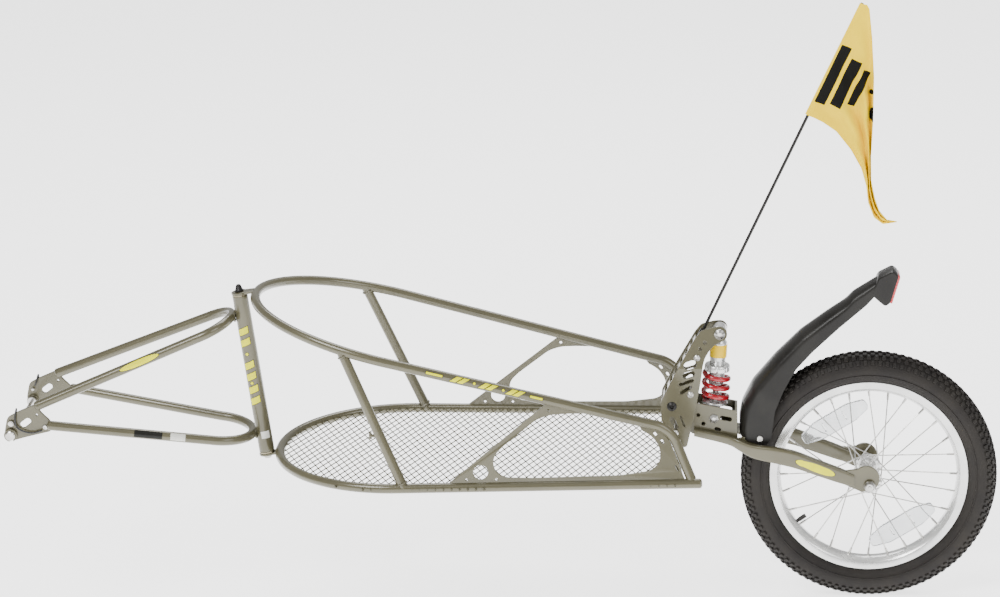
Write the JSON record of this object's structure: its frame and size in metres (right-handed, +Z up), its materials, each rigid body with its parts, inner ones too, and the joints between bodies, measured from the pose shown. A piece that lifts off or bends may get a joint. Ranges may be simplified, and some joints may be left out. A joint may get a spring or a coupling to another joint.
{
  "type": "bicycle cargo trailer",
  "caption": "Single-wheel suspension cargo trailer: a hoop-railed basket, a pivoting hitch fork, and a rear wheel on a sprung swing arm with a mudguard and a flag.",
  "frame": {"origin": "midway between the two fork dropouts, on the axis of the towing bicycle's rear axle", "axes": "+X back along the trailer towards its wheel, +Y to the trailer's right, +Z up"},
  "size_m": [1.5899, 0.4208, 0.9776],
  "materials": {
    "frame_paint": "satin grey-beige powder coat",
    "zinc_steel": "zinc plated",
    "polished_alloy": "polished",
    "black_plastic": "moulded, satin",
    "tyre_rubber": "matt",
    "red_spring_coat": "gloss coat",
    "red_lens": "clear gloss",
    "clear_lens": "clear gloss",
    "yellow_cloth": "coated cloth",
    "bush_bronze": "sintered"
  },
  "bodies": {
    "basket": {"upper_rail": "frame_paint", "lower_rail": "frame_paint", "front_strut_left": "frame_paint", "front_strut_right": "frame_paint", "side_panel_left": "frame_paint", "side_panel_right": "frame_paint", "floor_mesh": "frame_paint", "upper_lug": "frame_paint", "lower_lug": "frame_paint", "pivot_bolt": "zinc_steel", "pivot_cap": "black_plastic", "rear_crossbar": "frame_paint", "mast": "frame_paint", "mast_bolt_upper": "zinc_steel", "mast_bolt_middle": "zinc_steel", "mast_bolt_lower": "zinc_steel", "arm_pivot_bolt": "zinc_steel", "shock_top_bolt": "zinc_steel", "flag_socket": "black_plastic"},
    "fork": {"pivot_tube": "frame_paint", "upper_bush": "bush_bronze", "lower_bush": "bush_bronze", "fork_upper_tube": "frame_paint", "fork_lower_tube": "frame_paint", "dropout_left": "frame_paint", "dropout_right": "frame_paint", "lanyard_left": "black_plastic", "lanyard_right": "black_plastic", "lanyard_screw_left": "zinc_steel", "lanyard_screw_right": "zinc_steel", "hitch_skewer": "zinc_steel"},
    "pin_left": {"retention_pin_left": "zinc_steel"},
    "pin_right": {"retention_pin_right": "zinc_steel"},
    "swing_arm": {"arm_box": "frame_paint", "leg_left": "frame_paint", "leg_right": "frame_paint", "fender": "black_plastic", "fender_screw_left": "zinc_steel", "fender_screw_right": "zinc_steel", "reflector_housing": "black_plastic", "reflector_lens": "red_lens", "shock_lower_bolt": "zinc_steel", "hub_axle": "zinc_steel", "skewer": "zinc_steel", "qr_nut": "zinc_steel"},
    "lever": {"qr_lever": "zinc_steel"},
    "shock_barrel": {"shock_body": "polished_alloy", "shock_spring": "red_spring_coat"},
    "collar": {"preload_collar": "polished_alloy"},
    "shock_rod": {"shock_shaft": "polished_alloy"},
    "wheel": {"tyre": "tyre_rubber", "inner_tube": "black_plastic", "rim": "polished_alloy", "hub_shell": "polished_alloy", "spokes_left": "zinc_steel", "spokes_right": "zinc_steel", "wheel_reflector_upper": "clear_lens", "wheel_reflector_lower": "clear_lens"},
    "flag_and_pole": {"flag_pole": "black_plastic", "flag": "yellow_cloth"}
  },
  "joints": [
    {"name": "fork_pivot", "type": "hinge", "parent": "basket", "child": "fork", "pos_m": [0.3995, 0, -0.0599], "axis": [-0.1187, 0, 0.9929], "range_deg": [-90, 90]},
    {"name": "pin_left_pull", "type": "slide", "parent": "fork", "child": "pin_left", "axis": [0, -1, 0], "range_m": [0, 0.02]},
    {"name": "pin_right_pull", "type": "slide", "parent": "fork", "child": "pin_right", "axis": [0, 1, 0], "range_m": [0, 0.02]},
    {"name": "arm_pivot", "type": "hinge", "parent": "basket", "child": "swing_arm", "pos_m": [1.06, 0, 0.022], "axis": [0, -1, 0], "range_deg": [0, 13.5], "stiffness_Nm_per_rad": 90, "springref_deg": -1.72},
    {"name": "wheel_spin", "type": "hinge", "parent": "swing_arm", "child": "wheel", "pos_m": [1.374, 0, -0.103], "axis": [0, 1, 0], "continuous": true},
    {"name": "lever_open", "type": "hinge", "parent": "swing_arm", "child": "lever", "pos_m": [1.374, 0.0713, -0.103], "axis": [-0.3746, 0, -0.9272], "range_deg": [0, 180]},
    {"name": "shock_swing", "type": "hinge", "parent": "basket", "child": "shock_barrel", "pos_m": [1.1375, 0, 0.139], "axis": [0, -1, 0], "range_deg": [0, 1]},
    {"name": "shock_slide", "type": "slide", "parent": "shock_barrel", "child": "shock_rod", "axis": [0.0753, 0, 0.9972], "range_m": [0, 0.0166], "deforming": ["shock_spring"]},
    {"name": "collar_turn", "type": "hinge", "parent": "shock_barrel", "child": "collar", "pos_m": [1.1375, 0, 0.139], "axis": [0.0753, 0, 0.9972], "range_deg": [-180, 180]},
    {"name": "flag_pull", "type": "slide", "parent": "basket", "child": "flag_and_pole", "axis": [0.4315, 0, 0.9021], "range_m": [0, 0.055]}
  ],
  "couplings": [
    {"joint": "shock_swing", "follows": "arm_pivot", "ratio": 0.0711},
    {"joint": "shock_slide", "follows": "arm_pivot", "m_per_rad": 0.0697}
  ]
}
